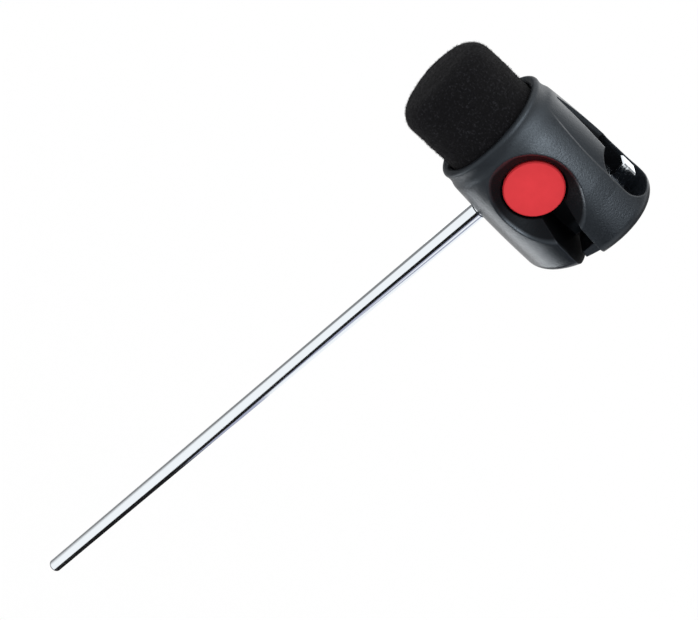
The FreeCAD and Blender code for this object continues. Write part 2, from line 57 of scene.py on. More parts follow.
FELT_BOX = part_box("felt_striker")
FELT_BACK = FELT_BOX[1][0]
FELT_FRONT = FELT_BOX[0][0]
FELT_RADIUS = (FELT_BOX[1][1] - FELT_BOX[0][1]) / 2
HEAD_HEIGHT = (FELT_BOX[1][2] + FELT_BOX[0][2]) / 2
SCREW_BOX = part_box("clamp_screw")
SCREW_OFFSET = (SCREW_BOX[1][0] + SCREW_BOX[0][0]) / 2
WASHER_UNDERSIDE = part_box("clamp_washer")[0][2]
HEAD_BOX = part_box("head_body")
HEAD_REAR = HEAD_BOX[1][0]
LIP_FRONT = HEAD_BOX[0][0]
BARREL_RADIUS = (HEAD_BOX[1][1] - HEAD_BOX[0][1]) / 2


# Places and lengths on the head that no box gives, in metres, with heights above the head's axis

BARREL_FRONT = -0.0135  # just behind the lip's cove, where the barrel begins
BARREL_FRONT_RADIUS = 0.02035
BARREL_FULL = 0.011  # where the barrel has about its full radius
DOME_FRONT = 0.0235  # where the rear dome begins
DOME_BLEND = 0.002  # length over which the finish changes there
DOME_RADIUS = 0.048
DOME_LIFT = 0.0066  # height of the dome's apex
DOME_APEX = (HEAD_REAR, 0.0, HEAD_HEIGHT + DOME_LIFT)
SLOT_HALF_GAP = 0.0045
SLOT_DROP = 0.0009  # how far the slot's floor has sunk at the rear
TONGUE_FOOT = -0.0046  # height of the tongue's lower edge at the rear


# Angles from the head's top at which the moulded seam starts and ends

SEAM_FRONT_ANGLE = math.radians(24.0)
SEAM_BACK_ANGLE = math.radians(35.0)


# Far cards that only reflections see, in rows of elevation, first azimuth and last azimuth in degrees

HIGH_BOX = ((34, -94, -79), (42, -94, -75), (50, -92, -66), (60, -90, -55), (70, -94, -48))
FRONT_BOX = ((48, -130, -104), (54, -145, -104), (62, -155, -104), (70, -160, -104))
TOP_BOX = ((71, -40, -4), (78, -60, 4), (86, -90, 20))
BACK_BOX = ((10, 60, 90), (24, 57, 90), (46, 57, 90))
LOW_BACK = ((-24, 60, 90), (-8, 60, 90))
TABLE_GLOW = ((-74, 24, 62), (-71, 12, 62), (-66, -30, 48), (-61, -30, 46), (-55, -30, 46))
TABLE_FRONT = ((-86, 130, 250), (-76, 135, 245), (-66, 140, 240))
DARK_FRONT = ((-3, -100, -45), (16, -92, -45), (32, -76, -48))
DARK_TABLE = ((-82, -110, -15), (-73, -100, -36), (-67, -100, -36), (-56, -100, -66))
DIM_SIDE = ((30, -47, -6), (50, -47, -6), (66, -40, -6))
DIM_TOP = ((52, 2, 46), (62, 2, 46), (69, 0, 50), (78, 8, 60))
DIM_BACK = ((-14, -5, 54), (10, -5, 54), (29, -5, 54))
GREY_WALL = ((-54, 96, 152), (-18, 96, 152))
WALL_FADE = ((-54, 152, 174), (-43, 152, 167), (-36, 152, 161), (-18, 152, 159))
WALL_END = ((-54, 174, 196), (-43, 167, 182), (-36, 161, 170), (-18, 159, 163))
DARK_CORNER = ((-17, 92, 136), (2, 92, 136))
BLACK_STRIP = (
    (-54, -65, 50), (-43, -62, 50), (-40, -72, 30), (-37, -84, -33), (-30, -104, -66), (-23, -104, -64),
    (-16, -105, -62))
COOL_STRIP = ((-39.5, 20, 44), (-37, -33, 40), (-30, -66, -46), (-23, -64, -50), (-16, -62, -48))
COOL_LINE = ((-33, -44, -28), (-30, -44, -34), (-23, -30, -6), (-16, -24, -4))


# Colour of the room, the floor and the neutral cards

WHITE = (1.0, 1.0, 1.0)


# Sizes and colours that a user would change


class BeaterFelt(bpy.types.PropertyGroup):
    """Sizes of the felt striker and its pile."""

    edge_radius: bpy.props.FloatProperty(
        name="Edge Radius", description="Rounding between the felt's side and its face",
        default=0.0070, unit="LENGTH")
    crown_radius: bpy.props.FloatProperty(
        name="Crown Radius", description="Radius of the crowned striking face",
        default=0.042, unit="LENGTH")
    inset: bpy.props.FloatProperty(
        name="Inset", description="How far the matted form lies inside the outline that the pile fills",
        default=0.00035, unit="LENGTH")
    unevenness: bpy.props.FloatProperty(
        name="Unevenness", description="How far the pressed felt wanders from its form",
        default=0.00022, unit="LENGTH")
    pile_length: bpy.props.FloatProperty(
        name="Pile Length", description="Length of the longest loose fibres",
        default=0.0006, unit="LENGTH")
    pile_width: bpy.props.FloatProperty(
        name="Pile Width", description="Width of one loose fibre",
        default=0.00006, unit="LENGTH")
    pile_density: bpy.props.FloatProperty(
        name="Pile Density", description="Loose fibres on each square metre of felt",
        default=5200000.0)
    quick_share: bpy.props.FloatProperty(
        name="Quick Share", description="Share of the fibres that a quick run makes", subtype="FACTOR",
        default=0.1)
    pile_seed: bpy.props.IntProperty(
        name="Pile Seed", description="Fixed seed of the scattered fibres", default=7)
    colour: bpy.props.FloatVectorProperty(
        name="Felt Colour", description="Colour of the felt", subtype="COLOR",
        default=(0.0038, 0.0037, 0.0047))
    speck_colour: bpy.props.FloatVectorProperty(
        name="Speck Colour", description="Colour of the paler fibres in the felt", subtype="COLOR",
        default=(0.028, 0.028, 0.033))


class BeaterFinish(bpy.types.PropertyGroup):
    """Colours and gloss of the rigid pieces."""

    head_colour: bpy.props.FloatVectorProperty(
        name="Head Colour", description="Moulded plastic of the head", subtype="COLOR",
        default=(0.0042, 0.0052, 0.0074))
    head_worn_colour: bpy.props.FloatVectorProperty(
        name="Head Cloud Colour", description="Slightly paler clouds in the moulded plastic",
        subtype="COLOR", default=(0.0060, 0.0073, 0.0102))
    grain_size: bpy.props.FloatProperty(
        name="Grain Size", description="Pitch of the moulded surface grain",
        default=0.00056, unit="LENGTH")
    edge_round: bpy.props.FloatProperty(
        name="Edge Round", description="Soft rounding of the moulded edges",
        default=0.0007, unit="LENGTH")
    head_shine: bpy.props.FloatVectorProperty(
        name="Head Shine", description="Cool tint of the head's reflections", subtype="COLOR",
        default=(0.75, 0.88, 1.0))
    lip_matt: bpy.props.FloatProperty(
        name="Lip Matt", description="Extra roughness of the lip", default=0.16)
    # Painted shade: a darker colour and a lower specular level stand in for the shade in the dishes, the
    # slot and the pocket.
    recess_shade_colour: bpy.props.FloatVectorProperty(
        name="Recess Colour", description="Plastic in the dishes, the slot and the pocket",
        subtype="COLOR", default=(0.0028, 0.0030, 0.0038))
    recess_shade_gloss: bpy.props.FloatProperty(
        name="Recess Gloss", description="Specular level of the sunk faces", default=0.09)
    recess_matt: bpy.props.FloatProperty(
        name="Recess Matt", description="Extra roughness of the sunk faces", default=0.2)
    seam_depth: bpy.props.FloatProperty(
        name="Seam Depth", description="Step down to the strip along the head's top",
        default=0.00016, unit="LENGTH")
    seam_width: bpy.props.FloatProperty(
        name="Seam Width", description="Width over which the step falls",
        default=0.0006, unit="LENGTH")
    seam_fade: bpy.props.FloatProperty(
        name="Seam Fade", description="Length over which the seam fades in and out",
        default=0.006, unit="LENGTH")
    weight_colour: bpy.props.FloatVectorProperty(
        name="Weight Colour", description="Red plastic of the weight's capsule and cap", subtype="COLOR",
        default=(0.815, 0.037, 0.048))
    weight_deep_colour: bpy.props.FloatVectorProperty(
        name="Weight Deep Colour", description="Deeper red in the capsule's mottling", subtype="COLOR",
        default=(0.770, 0.033, 0.043))
    plate_colour: bpy.props.FloatVectorProperty(
        name="Plate Colour", description="Bright plating of the shaft and the screw", subtype="COLOR",
        default=(0.89, 0.935, 0.975))
    # Dull steel of the cut end, made darker still as a painted dark reflection on its chamfer.
    dull_shaded_end_colour: bpy.props.FloatVectorProperty(
        name="Cut End Colour", description="Dull steel at the shaft's cut end", subtype="COLOR",
        default=(0.16, 0.16, 0.18))
    steel_colour: bpy.props.FloatVectorProperty(
        name="Steel Colour", description="Plain steel of the slug, washer and nut", subtype="COLOR",
        default=(0.52, 0.52, 0.54))
    thread_pitch: bpy.props.FloatProperty(
        name="Thread Pitch", description="Pitch of the screw's thread",
        default=0.0008, unit="LENGTH")


class BeaterStage(bpy.types.PropertyGroup):
    """Camera and studio."""

    camera_place: bpy.props.FloatVectorProperty(
        name="Camera Place", description="Where the camera stands", subtype="TRANSLATION",
        default=(-0.111016, -0.274002, 0.377480))
    camera_aim: bpy.props.FloatVectorProperty(
        name="Camera Aim", description="Point in the middle of the picture", subtype="TRANSLATION",
        default=(0.007002, 0.024014, 0.193356))
    camera_roll: bpy.props.FloatProperty(
        name="Camera Roll", description="Turn of the camera about its view",
        default=math.radians(49.7356), subtype="ANGLE")
    camera_lens: bpy.props.FloatProperty(
        name="Camera Lens", description="Focal length in millimetres on a 36 mm wide frame",
        default=49.556)
    floor_drop: bpy.props.FloatProperty(
        name="Floor Drop", description="How far the floor lies under the shaft's free end",
        default=0.22, unit="LENGTH")
    room_light: bpy.props.FloatProperty(
        name="Room Light", description="Even light of the white room on matt surfaces", default=1.0)
    room_shine: bpy.props.FloatProperty(
        name="Room Shine", description="Brightness of the white room in reflections", default=1.0)
    box_shine: bpy.props.FloatProperty(
        name="Box Shine", description="Brightness of the high soft box in reflections", default=7.4)
    front_shine: bpy.props.FloatProperty(
        name="Front Shine", description="Brightness of the soft light before the lip in reflections",
        default=12.0)
    top_shine: bpy.props.FloatProperty(
        name="Top Shine", description="Brightness of the ceiling light in reflections", default=2.8)
    rim_shine: bpy.props.FloatProperty(
        name="Rim Shine", description="Brightness of the soft light behind the head in reflections",
        default=2.0)
    glow_shine: bpy.props.FloatProperty(
        name="Glow Shine", description="Brightness of the lit table under the head in reflections",
        default=5.4)
    table_shine: bpy.props.FloatProperty(
        name="Table Shine", description="Brightness of the table before the lip in reflections",
        default=10.0)
    front_shade: bpy.props.FloatProperty(
        name="Front Shade", description="Brightness of the dark room behind the camera", default=0.22)
    side_shade: bpy.props.FloatProperty(
        name="Side Shade", description="Brightness of the room between soft box and back", default=0.27)
    dim_shade: bpy.props.FloatProperty(
        name="Dim Shade", description="Brightness of the dim room behind the head", default=0.15)
    back_shade: bpy.props.FloatProperty(
        name="Back Shade", description="Brightness of the grey wall behind the shaft", default=0.24)
    fade_shade: bpy.props.FloatProperty(
        name="Fade Shade", description="Brightness where the grey wall begins to pale", default=0.50)
    end_shade: bpy.props.FloatProperty(
        name="End Shade", description="Brightness where the grey wall ends", default=0.80)
    strip_shade: bpy.props.FloatProperty(
        name="Strip Shade", description="Brightness of the black strip in reflections", default=0.012)
    cool_shade: bpy.props.FloatVectorProperty(
        name="Cool Shade", description="Lavender cast beside the black strip", subtype="COLOR",
        default=(0.40, 0.41, 0.52))
    sky_distance: bpy.props.FloatProperty(
        name="Sky Distance", description="How far away the reflected cards hang",
        default=40.0, unit="LENGTH")


# Places of sockets whose names a node repeats for each kind of value: two inputs and the output

MIX_SOCKETS = {"RGBA": (6, 7, 2), "VECTOR": (4, 5, 1)}
RANDOM_NUMBER_SOCKETS = (2, 3, 1)


# Node helpers


def new_material(name, kind="ShaderNodeBsdfPrincipled"):
    """Start a material with one shader; gives the material, its tree and the shader."""
    material = bpy.data.materials.new(name)
    material.use_nodes = True
    tree = material.node_tree
    tree.nodes.clear()
    output = tree.nodes.new("ShaderNodeOutputMaterial")
    shader = tree.nodes.new(kind)
    tree.links.new(shader.outputs[0], output.inputs["Surface"])
    return material, tree, shader


def fill(tree, node, inputs):
    """Set a node's inputs, and link those whose value comes from another node."""
    for name, value in inputs.items():
        socket = node.inputs[name]
        if isinstance(value, bpy.types.NodeSocket):
            tree.links.new(value, socket)
        else:
            socket.default_value = value


def add_node(tree, kind, inputs=None, **settings):
    """Add a node, set its options and fill its inputs."""
    node = tree.nodes.new(kind)
    for name, value in settings.items():
        setattr(node, name, value)
    fill(tree, node, inputs or {})
    return node


def maths(tree, operation, *values):
    """Result of a Math node on numbers or on other nodes' sockets."""
    return add_node(tree, "ShaderNodeMath", dict(enumerate(values)), operation=operation).outputs[0]


def object_place(tree, scale=(1.0, 1.0, 1.0), shift=(0.0, 0.0, 0.0)):
    """Object coordinates, moved and stretched by a Mapping node."""
    coordinates = add_node(tree, "ShaderNodeTexCoord")
    mapping = add_node(tree, "ShaderNodeMapping", {
        "Vector": coordinates.outputs["Object"], "Location": shift, "Scale": scale})
    return mapping.outputs["Vector"]


def split(tree, place):
    """The X, Y and Z of a place, as three sockets."""
    axes = add_node(tree, "ShaderNodeSeparateXYZ", {"Vector": place})
    return axes.outputs["X"], axes.outputs["Y"], axes.outputs["Z"]


def clouds(tree, place, size, detail=3.0, roughness=0.55):
    """Noise whose clouds are about one size across, from 0 to 1."""
    return add_node(tree, "ShaderNodeTexNoise", {
        "Vector": place, "Scale": 1.0 / size, "Detail": detail, "Roughness": roughness}).outputs["Fac"]


def spread(tree, value, low, high, start=0.3, end=0.7):
    """Map a value from start..end to low..high, held at both ends; the defaults suit noise."""
    return add_node(tree, "ShaderNodeMapRange", {
        "Value": value, "From Min": start, "From Max": end,
        "To Min": low, "To Max": high}).outputs["Result"]


def rising(tree, value, start, end):
    """0 up to start, 1 from end on."""
    return spread(tree, value, 0.0, 1.0, start, end)


def falling(tree, value, start, end):
    """1 up to start, 0 from end on."""
    return spread(tree, value, 1.0, 0.0, start, end)


def blend(tree, kind, value, first, second):
    """Mix two colours (RGBA) or two normals (VECTOR) by a value from 0 to 1."""
    first_socket, second_socket, result = MIX_SOCKETS[kind]
    mix = add_node(tree, "ShaderNodeMix", {
        "Factor": value, first_socket: first, second_socket: second}, data_type=kind)
    return mix.outputs[result]


def two_colours(tree, value, first, second):
    """Blend two colours, fixed or from other nodes, by a value from 0 to 1."""
    ends = []
    for colour in (first, second):
        ends.append(colour if isinstance(colour, bpy.types.NodeSocket) else (*colour, 1.0))
    return blend(tree, "RGBA", value, *ends)


def bump(tree, height, strength, distance, under=None):
    """Bump from a height value, on top of another bump where one is given."""
    inputs = {"Height": height, "Strength": strength, "Distance": distance}
    if under is not None:
        inputs["Normal"] = under
    return add_node(tree, "ShaderNodeBump", inputs).outputs["Normal"]


def deeper(colour, share):
    """A share of a colour's brightness."""
    return [value * share for value in colour]


# Finishes


def plated_shaft(finish):
    """Bright plating with faint polishing marks along the shaft; the cut end is dull steel, darkened
    further as a painted dark reflection on its chamfer.
    """
    dull_top = 0.0009
    plating_start = 0.0013
    along_shaft = (1.0, 1.0, 0.02)
    material, tree, shader = new_material("shaft_plating")
    marks = clouds(tree, object_place(tree, scale=along_shaft), size=0.0006, detail=4.0)
    haze = clouds(tree, object_place(tree), size=0.012, detail=2.0)
    tint = two_colours(tree, haze, finish.plate_colour, deeper(finish.plate_colour, share=0.94))
    height = split(tree, object_place(tree))[2]
    # Painted dark reflection: the base colour darkens at the cut end, where the plating also stops.
    dull_shaded_end = falling(tree, height, dull_top, plating_start)
    fill(tree, shader, {
        "Base Color": two_colours(tree, dull_shaded_end, tint, finish.dull_shaded_end_colour),
        "Roughness": spread(tree, marks, low=0.045, high=0.11),
        "Normal": bump(tree, marks, strength=0.02, distance=0.00002),
        "Metallic": 1.0})
    return material


def plain_steel(name, colour):
    """Turned steel with a fine random scratch."""
    turning = (1.0, 6.0, 1.0)
    material, tree, shader = new_material(name)
    scratch = clouds(tree, object_place(tree, scale=turning), size=0.0005, detail=5.0)
    fill(tree, shader, {
        "Base Color": two_colours(tree, scratch, deeper(colour, share=0.82), colour),
        "Roughness": spread(tree, scratch, low=0.28, high=0.42),
        "Normal": bump(tree, scratch, strength=0.08, distance=0.00003),
        "Metallic": 1.0})
    return material


def moulded_plastic(finish):
    """Dark satin plastic with a fine grain and faint flow clouds, duller on the lip and where sunk, with
    shade painted into the sunk faces as a darker colour and a lower specular level.
    """
    lip_blend_start = BARREL_FRONT - 0.001
    lip_blend_end = BARREL_FRONT + 0.003
    dent_size = 6.0 * finish.grain_size
    material, tree, shader = new_material("head_moulded_plastic")
    place = object_place(tree)
    flow = clouds(tree, place, size=0.014, detail=3.0)
    grain = clouds(tree, place, size=finish.grain_size, detail=2.0, roughness=0.5)
    dents = clouds(tree, place, size=dent_size, detail=2.0)
    drift = rising(tree, flow, start=0.35, end=0.65)
    tint = two_colours(tree, drift, finish.head_colour, finish.head_worn_colour)
    # Mask of the sunk faces, where shade is painted in.
    sunk_shade = shaded_recess(tree)
    satin = spread(tree, grain, low=0.28, high=0.38)
    matt = maths(tree, "MULTIPLY_ADD", sunk_shade, finish.recess_matt, satin)
    along = split(tree, place)[0]
    lip_matt = spread(tree, along, finish.lip_matt, 0.0, lip_blend_start, lip_blend_end)
    soft_edges = add_node(tree, "ShaderNodeBevel", {"Radius": finish.edge_round}, samples=6)
    smooth = dome_normal(tree, soft_edges.outputs["Normal"])
    stepped = bump(tree, seam_step(tree, finish), strength=1.0, distance=finish.seam_depth, under=smooth)
    rough = bump(tree, grain, strength=0.9, distance=0.00006, under=stepped)
    fill(tree, shader, {
        # Painted shade: darker colour and weaker reflection on the sunk faces.
        "Base Color": two_colours(tree, sunk_shade, tint, finish.recess_shade_colour),
        "Roughness": maths(tree, "ADD", lip_matt, matt),
        "Specular IOR Level": spread(tree, sunk_shade, low=0.5, high=finish.recess_shade_gloss, start=0.0, end=1.0),
        "Specular Tint": (*finish.head_shine, 1.0),
        "Normal": bump(tree, dents, strength=0.06, distance=0.0002, under=rough)})
    return material


def dome_normal(tree, normal):
    """Use the rear dome's own normal close round its apex, where the triangles meet in one point."""
    apex_zone = 0.0022
    zone_end = 0.0034
    from_apex = object_place(tree, shift=[-value for value in DOME_APEX])
    from_centre = object_place(tree, shift=(DOME_RADIUS - DOME_APEX[0], -DOME_APEX[1], -DOME_APEX[2]))
    away = add_node(tree, "ShaderNodeVectorMath", {0: from_apex}, operation="LENGTH")
    outward = add_node(tree, "ShaderNodeVectorMath", {0: from_centre}, operation="NORMALIZE")
    close = falling(tree, away.outputs["Value"], apex_zone, zone_end)
    return blend(tree, "VECTOR", close, normal, outward.outputs["Vector"])


def shaded_recess(tree):
    """0 on the turned barrel, the lip and the dome, 1 on the sunk faces of dishes, slot and pocket,
    where shade is painted in and roughness added.
    """
    sunk_start = 0.0004
    sunk_full = 0.0013
    lip_blend = 0.001
    along = split(tree, object_place(tree))[0]
    spoke = object_place(tree, scale=(0.0, 1.0, 1.0), shift=(0.0, 0.0, -HEAD_HEIGHT))
    radius = add_node(tree, "ShaderNodeVectorMath", {0: spoke}, operation="LENGTH")
    wall = spread(tree, along, BARREL_FRONT_RADIUS, BARREL_RADIUS, BARREL_FRONT, BARREL_FULL)
    depth = maths(tree, "SUBTRACT", wall, radius.outputs["Value"])
    sunk_shade = rising(tree, depth, sunk_start, sunk_full)
    behind_lip = rising(tree, along, BARREL_FRONT, BARREL_FRONT + lip_blend)
    before_dome = falling(tree, along, DOME_FRONT - DOME_BLEND, DOME_FRONT)
    inside = maths(tree, "MULTIPLY", behind_lip, before_dome)
    sides = maths(tree, "MULTIPLY", sunk_shade, inside)
    return maths(tree, "MAXIMUM", sides, slot_floor_shade(tree))


def slot_floor_shade(tree):
    """1 in the gap between the slot's sinking floor and the tongue's foot, in the dome, where shade is
    painted in; 0 elsewhere.
    """
    floor_blend = 0.0001
    fall = SLOT_DROP / HEAD_REAR
    along, _, up = split(tree, object_place(tree, shift=(0.0, 0.0, -HEAD_HEIGHT)))
    height = maths(tree, "MULTIPLY_ADD", along, fall, up)
    on_floor = rising(tree, height, -SLOT_HALF_GAP - floor_blend, -SLOT_HALF_GAP)
    below_tongue = falling(tree, up, TONGUE_FOOT - floor_blend, TONGUE_FOOT)
    in_dome = rising(tree, along, DOME_FRONT - 2 * DOME_BLEND, DOME_FRONT - DOME_BLEND)
    low = maths(tree, "MULTIPLY", on_floor, below_tongue)
    return maths(tree, "MULTIPLY", low, in_dome)


def seam_step(tree, finish):
    """Height of the moulded seam on both sides of the key channel: 0 on the strip, 1 outside it.

    Seen along the head's axis the seam stands at a small angle from the top behind the lip, and
    swings out to the angle of the pocket's near edge.
    """
    swing_power = 2.0
    half_width = finish.seam_width / 2 / BARREL_RADIUS
    along, across, up = split(tree, object_place(tree, shift=(0.0, 0.0, -HEAD_HEIGHT)))
    angle = maths(tree, "ARCTAN2", maths(tree, "ABSOLUTE", across), up)
    ahead = falling(tree, along, BARREL_FRONT, BARREL_FULL)
    swing = maths(tree, "POWER", ahead, swing_power)
    seam = spread(tree, swing, SEAM_BACK_ANGLE, SEAM_FRONT_ANGLE, start=0.0, end=1.0)
    step = rising(tree, maths(tree, "SUBTRACT", angle, seam), -half_width, half_width)
    begun = rising(tree, along, BARREL_FRONT, BARREL_FRONT + finish.seam_fade)
    going = falling(tree, along, BARREL_FULL, BARREL_FULL + finish.seam_fade)
    return maths(tree, "MULTIPLY", step, maths(tree, "MULTIPLY", begun, going))


def red_plastic(finish):
    """Even red plastic with the faintest mottling and moulded grain."""
    material, tree, shader = new_material("weight_red_plastic")
    place = object_place(tree)
    mottle = spread(tree, clouds(tree, place, size=0.004, detail=4.0), low=0.0, high=1.0)
    grain = clouds(tree, place, size=0.00035, detail=2.0)
    fill(tree, shader, {
        "Base Color": two_colours(tree, mottle, finish.weight_colour, finish.weight_deep_colour),
        "Roughness": spread(tree, grain, low=0.50, high=0.62),
        "Normal": bump(tree, grain, strength=0.10, distance=0.00004),
        "Specular IOR Level": 0.25})
    return material


def threaded_plating(finish):
    """Bright plating, a little uneven, whose shank carries a thread below the washer."""
    upright = (1.0, 1.0, 0.35)
    to_screw = (-SCREW_OFFSET, 0.0, 0.0)
    material, tree, shader = new_material("screw_plating")
    place = object_place(tree, shift=to_screw)
    across, aside, up = split(tree, place)
    turn = maths(tree, "ARCTAN2", aside, across)
    rise = maths(tree, "MULTIPLY", up, 2.0 * math.pi / finish.thread_pitch)
    wave = maths(tree, "SINE", maths(tree, "SUBTRACT", rise, turn))
    on_shank = maths(tree, "LESS_THAN", up, WASHER_UNDERSIDE)
    thread = maths(tree, "MULTIPLY", wave, on_shank)
    marks = clouds(tree, place, size=0.0005, detail=4.0)
    hazy_plate = deeper(finish.plate_colour, share=0.9)
    waves = clouds(tree, object_place(tree, scale=upright, shift=to_screw), size=0.0012, detail=1.0)
    uneven = bump(tree, waves, strength=0.22, distance=0.0004)
    fill(tree, shader, {
        "Base Color": two_colours(tree, marks, finish.plate_colour, hazy_plate),
        "Roughness": spread(tree, marks, low=0.06, high=0.16),
        "Normal": bump(tree, thread, strength=0.9, distance=0.0002, under=uneven),
        "Metallic": 1.0})
    return material


def felt_cloth(felt):
    """Black pressed felt: matted clouds, paler specks and a soft sheen."""
    material, tree, shader = new_material("striker_felt")
    place = object_place(tree)
    mat = clouds(tree, place, size=0.0022, detail=6.0, roughness=0.7)
    specks = clouds(tree, place, size=0.0007, detail=4.0, roughness=0.7)
    amount = rising(tree, specks, start=0.54, end=0.72)
    matted = bump(tree, mat, strength=0.5, distance=0.0006)
    fill(tree, shader, {
        "Base Color": two_colours(tree, amount, felt.colour, felt.speck_colour),
        "Normal": bump(tree, specks, strength=0.5, distance=0.0003, under=matted),
        "Roughness": 0.95,
        "Specular IOR Level": 0.1,
        "Sheen Weight": 0.03,
        "Sheen Roughness": 0.5})
    return material


def dress_node(node, material):
    """Give a carried-over piece its finish."""
    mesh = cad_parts[node].data
    mesh.materials.clear()
    mesh.materials.append(material)


# Felt striker


def felt_profile(felt):
    """Outline of the felt from the middle of its face to the back, as (x, radius) pairs."""
    face_steps = 14
    edge_steps = 12
    side_steps = 22
    side_radius = FELT_RADIUS - felt.inset
    face_radius = side_radius - felt.edge_radius
    crown_centre = FELT_FRONT + felt.inset + felt.crown_radius
    face_angle = math.asin(face_radius / felt.crown_radius)
    outline = []
    for step in range(face_steps + 1):
        angle = face_angle * step / face_steps
        outline.append((
            crown_centre - felt.crown_radius * math.cos(angle),
            felt.crown_radius * math.sin(angle)))
    edge_front = outline[-1][0]
    for step in range(1, edge_steps + 1):
        angle = math.pi / 2 * step / edge_steps
        outline.append((
            edge_front + felt.edge_radius * (1.0 - math.cos(angle)),
            face_radius + felt.edge_radius * math.sin(angle)))
    side_front = outline[-1][0]
    for step in range(1, side_steps + 1):
        outline.append((side_front + (FELT_BACK - side_front) * step / side_steps, side_radius))
    return outline


def felt_form(felt):
    """Lathe the felt's outline about the head's axis and let the free part wander a little."""
    round_steps = 120
    outline = felt_profile(felt)
    shape = bmesh.new()
    tip = shape.verts.new((outline[0][0], 0.0, HEAD_HEIGHT))
    rings = []
    for across, radius in outline[1:]:
        ring = []
        for step in range(round_steps):
            angle = 2.0 * math.pi * step / round_steps
            ring.append(shape.verts.new((
                across, radius * math.cos(angle), HEAD_HEIGHT + radius * math.sin(angle))))
        rings.append(ring)
    for step in range(round_steps):
        after = (step + 1) % round_steps
        shape.faces.new((tip, rings[0][after], rings[0][step]))
        for inner, outer in zip(rings, rings[1:]):
            shape.faces.new((inner[step], inner[after], outer[after], outer[step]))
    shape.faces.new(rings[-1])
    bmesh.ops.recalc_face_normals(shape, faces=shape.faces)
    shape.normal_update()
    wander(shape, felt.unevenness)
    mesh = bpy.data.meshes.new("felt_form")
    shape.to_mesh(mesh)
    shape.free()
    mesh.shade_smooth()
    return mesh


def wander(shape, amount):
    """Push the felt's surface in and out by broad and fine waves, fading out at the lip."""
    fade_length = 0.004
    broad_waves_per_metre = 130.0
    fine_waves_per_metre = 620.0
    fine_shift = Vector((5.0, 2.0, 1.0))
    fine_share = 0.6
    sunk_share = 0.4
    for vertex in shape.verts:
        free = min(max((LIP_FRONT - vertex.co.x) / fade_length, 0.0), 1.0)
        broad = noise.noise(vertex.co * broad_waves_per_metre)
        fine = noise.noise(vertex.co * fine_waves_per_metre + fine_shift)
        vertex.co += vertex.normal * amount * free * (broad + fine_share * fine - sunk_share)


def pile_tree():
    """Geometry Nodes tree that scatters short bent fibres over a form and joins them to it."""
    tree = bpy.data.node_groups.new("felt_pile", "GeometryNodeTree")
    tree.interface.new_socket("Geometry", in_out="OUTPUT", socket_type="NodeSocketGeometry")
    sockets = {
        "Geometry": "NodeSocketGeometry",
        "Density": "NodeSocketFloat",
        "Length": "NodeSocketFloat",
        "Width": "NodeSocketFloat",
        "Lip": "NodeSocketFloat",
        "Seed": "NodeSocketInt",
        "Felt": "NodeSocketMaterial",
    }
    for name, kind in sockets.items():
        tree.interface.new_socket(name, in_out="INPUT", socket_type=kind)
    given = add_node(tree, "NodeGroupInput").outputs
    place = add_node(tree, "GeometryNodeInputPosition")
    along = split(tree, place.outputs["Position"])[0]
    scatter = add_node(tree, "GeometryNodeDistributePointsOnFaces", {
        "Mesh": given["Geometry"], "Selection": maths(tree, "LESS_THAN", along, given["Lip"]),
        "Density": given["Density"], "Seed": given["Seed"]})
    turns, growth = fibre_chances(tree, given["Seed"])
    aligned = add_node(tree, "FunctionNodeRotateRotation", {
        "Rotation": scatter.outputs["Rotation"], "Rotate By": turns}, rotation_space="LOCAL")
    pile = add_node(tree, "GeometryNodeInstanceOnPoints", {
        "Points": scatter.outputs["Points"], "Instance": fibre(tree, given["Length"], given["Width"]),
        "Rotation": aligned.outputs[0], "Scale": growth})
    joined = add_node(tree, "GeometryNodeJoinGeometry")
    tree.links.new(pile.outputs[0], joined.inputs[0])
    tree.links.new(given["Geometry"], joined.inputs[0])
    real = add_node(tree, "GeometryNodeRealizeInstances", {"Geometry": joined.outputs[0]})
    finished = add_node(tree, "GeometryNodeSetMaterial", {
        "Geometry": real.outputs[0], "Material": given["Felt"]})
    add_node(tree, "NodeGroupOutput", {"Geometry": finished.outputs[0]})
    return tree


def fibre(tree, length, width):
    """One fibre: a narrow ribbon along a bent spine, whose points are shares of its length."""
    spine_steps = 3
    spine_bend = (0.0, 0.15, 0.55)
    spine_tip = (0.0, 0.62, 0.75)
    half_width = maths(tree, "MULTIPLY", width, 0.5)
    other_half = maths(tree, "MULTIPLY", half_width, -1.0)
    ribbon_start = add_node(tree, "ShaderNodeCombineXYZ", {"X": other_half})
    ribbon_end = add_node(tree, "ShaderNodeCombineXYZ", {"X": half_width})
    ribbon = add_node(tree, "GeometryNodeCurvePrimitiveLine", {
        "Start": ribbon_start.outputs[0], "End": ribbon_end.outputs[0]})
    bend = add_node(tree, "ShaderNodeVectorMath", {0: spine_bend, "Scale": length}, operation="SCALE")
    tip = add_node(tree, "ShaderNodeVectorMath", {0: spine_tip, "Scale": length}, operation="SCALE")
    spine = add_node(tree, "GeometryNodeCurveQuadraticBezier", {
        "Resolution": spine_steps, "Start": (0.0, 0.0, 0.0),
        "Middle": bend.outputs[0], "End": tip.outputs[0]})
    return add_node(tree, "GeometryNodeCurveToMesh", {
        "Curve": spine.outputs[0], "Profile Curve": ribbon.outputs[0]}).outputs[0]


def fibre_chances(tree, seed):
    """How each fibre leans and turns, in radians, and its share of the longest fibre's length."""
    widest_lean = 0.9
    shortest_share = 0.35
    lowest, highest, number = RANDOM_NUMBER_SOCKETS
    lean = add_node(tree, "FunctionNodeRandomValue", {
        "Min": (-widest_lean, -widest_lean, -math.pi), "Max": (widest_lean, widest_lean, math.pi),
        "Seed": seed}, data_type="FLOAT_VECTOR")
    turns = add_node(tree, "FunctionNodeEulerToRotation", {0: lean.outputs["Value"]})
    growth = add_node(tree, "FunctionNodeRandomValue", {
        lowest: shortest_share, highest: 1.0, "Seed": seed}, data_type="FLOAT")
    return turns.outputs[0], growth.outputs[number]


def socket_names(tree):
    """Identifier of each named input of a node tree."""
    return {item.name: item.identifier for item in tree.interface.items_tree if item.in_out == "INPUT"}


